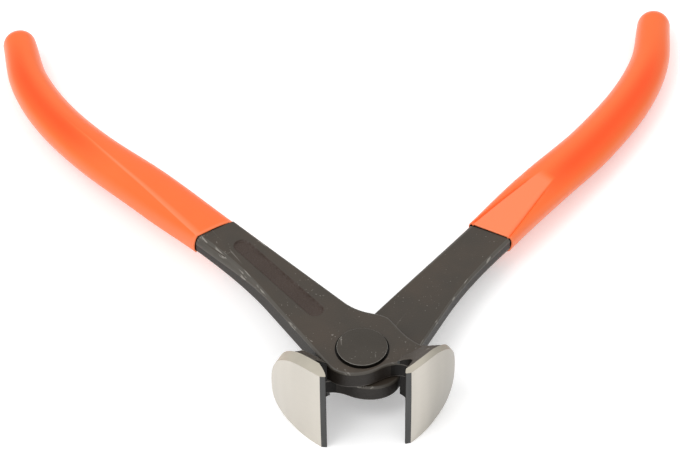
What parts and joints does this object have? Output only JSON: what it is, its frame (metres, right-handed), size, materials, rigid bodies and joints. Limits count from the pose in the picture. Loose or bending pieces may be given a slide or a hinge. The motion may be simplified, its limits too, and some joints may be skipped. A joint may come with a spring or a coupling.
{
  "type": "end nippers",
  "caption": "End-cutting nippers: forged steel levers crossing at a riveted lap joint, rounded jaws with a wide front cutting edge, and long bowed handles in plastic sleeves.",
  "frame": {"origin": "centre of the rivet head's flat top, on the hinge axis", "axes": "+Z out of the rivet head along the hinge axis, -Y towards the cutting edges, X across from one handle to the other"},
  "size_m": [0.2116, 0.1635, 0.029],
  "materials": {
    "forged_steel": "black oxide on the forging, with ground and polished jaw fronts",
    "rivet_steel": "blackened, with a flat turned head",
    "orange_sleeve": "smooth, softly glossy plastic sleeve"
  },
  "bodies": {
    "lower": {"lower_half": "forged_steel", "lower_grip": "orange_sleeve", "pivot_rivet": "rivet_steel"},
    "upper": {"upper_half": "forged_steel", "upper_grip": "orange_sleeve"}
  },
  "joints": [
    {"name": "pivot", "type": "hinge", "parent": "lower", "child": "upper", "pos_m": [0, 0, 0], "axis": [0, 0, 1], "range_deg": [-61.6, 3]}
  ]
}
